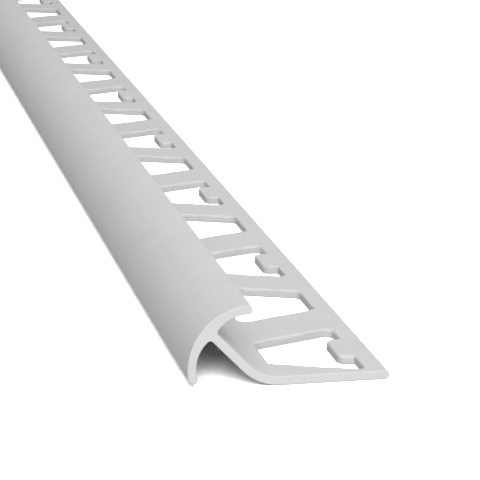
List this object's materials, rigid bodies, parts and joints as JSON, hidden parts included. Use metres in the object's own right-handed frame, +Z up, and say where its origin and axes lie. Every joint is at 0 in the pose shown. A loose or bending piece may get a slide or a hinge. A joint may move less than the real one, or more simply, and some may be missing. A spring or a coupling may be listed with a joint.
{
  "type": "tile edge trim",
  "caption": "Straight length of plastic tile edge trim with a quarter-round nose, a sloping web and a flat slotted leg that is bedded in adhesive behind the tile.",
  "frame": {"origin": "centre of the bounding box on the plane of the leg's underside", "axes": "+Y along the length, away from the end that the picture shows; +X across the leg, from the nose to the rail; +Z up, from the leg to the crown of the nose"},
  "size_m": [0.026, 2.5, 0.0106],
  "materials": {
    "rigid_pvc": "matte"
  },
  "bodies": {
    "root": {"edge_trim": "rigid_pvc"}
  },
  "joints": []
}
